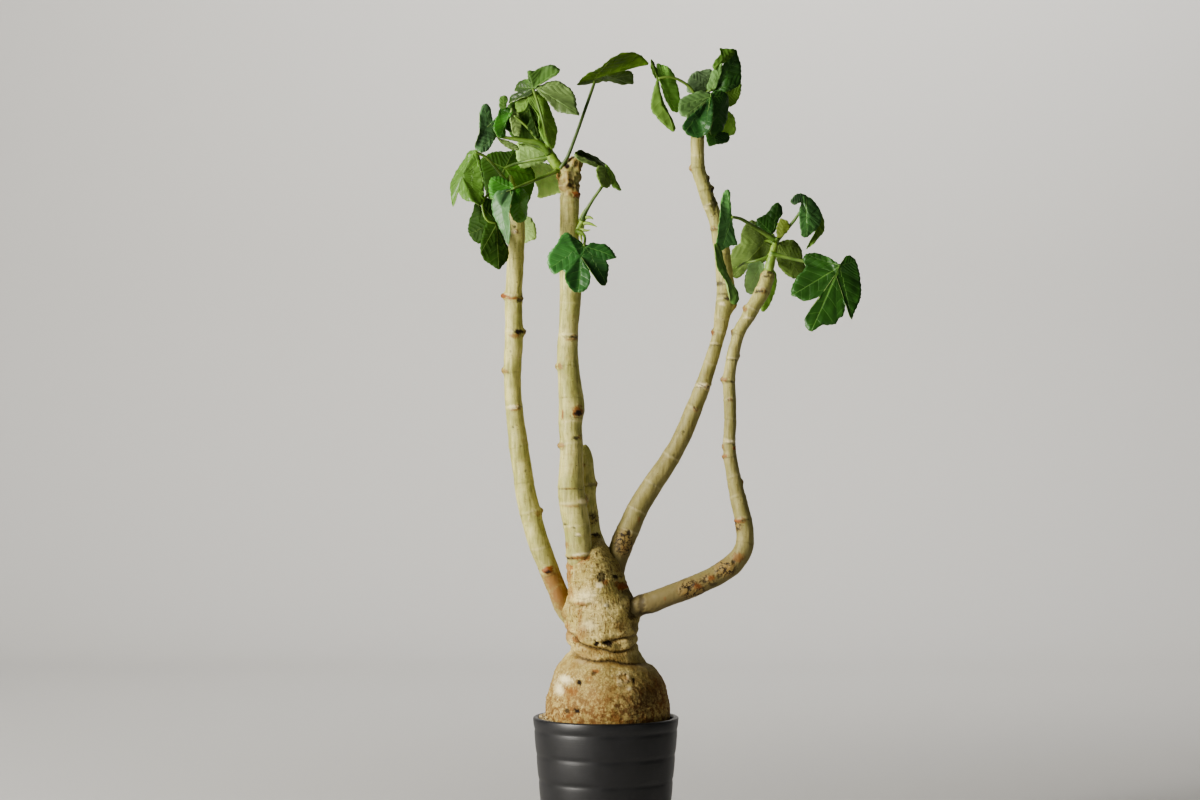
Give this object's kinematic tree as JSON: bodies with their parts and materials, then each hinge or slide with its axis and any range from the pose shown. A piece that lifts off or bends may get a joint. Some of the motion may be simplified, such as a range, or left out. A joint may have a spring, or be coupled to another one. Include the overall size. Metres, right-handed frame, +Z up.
{
  "type": "potted jatropha",
  "caption": "Potted succulent shrub with a swollen base, pruned bare branches and palmate leaves, in a ridged round pot of grit.",
  "frame": {"origin": "centre of the pot's underside, on the surface that it stands on", "axes": "+Z up; -Y towards the front of the plant; +X to the right seen from the front"},
  "size_m": [0.3354, 0.12, 0.677],
  "materials": {
    "black_pot": "matte black stoneware",
    "grit": "loose pale grit",
    "bark": "pale corky bark, living stem",
    "green_shoot": "soft green living shoot",
    "leaf": "living leaf, half gloss above and pale below"
  },
  "bodies": {
    "root": {"pot": "black_pot", "soil": "grit", "caudex": "bark", "stem_left": "bark", "stem_middle": "bark", "stem_stub": "bark", "stem_tall": "bark", "stem_curved": "bark", "shoot_left": "green_shoot", "shoot_middle_top": "green_shoot", "shoot_middle_side": "green_shoot", "shoot_tall": "green_shoot", "shoot_curved": "green_shoot", "leaf_left_star": "leaf", "leaf_left_upright": "leaf", "leaf_left_outer": "leaf", "leaf_left_shaded": "leaf", "leaf_left_front": "leaf", "leaf_left_low": "leaf", "leaf_left_behind": "leaf", "leaf_left_inner": "leaf", "leaf_left_centre": "leaf", "leaf_middle_high": "leaf", "leaf_middle_right": "leaf", "leaf_middle_front": "leaf", "leaf_tall_hanging": "leaf", "leaf_tall_front": "leaf", "leaf_tall_top": "leaf", "leaf_tall_pale": "leaf", "leaf_tall_behind": "leaf", "leaf_curved_upright": "leaf", "leaf_curved_broad": "leaf", "leaf_curved_pale": "leaf", "leaf_curved_dark": "leaf", "leaf_curved_young": "leaf", "leaf_curved_folded": "leaf", "leaf_curved_large": "leaf", "leaf_curved_olive": "leaf", "leaf_curved_strip": "leaf"}
  },
  "joints": []
}
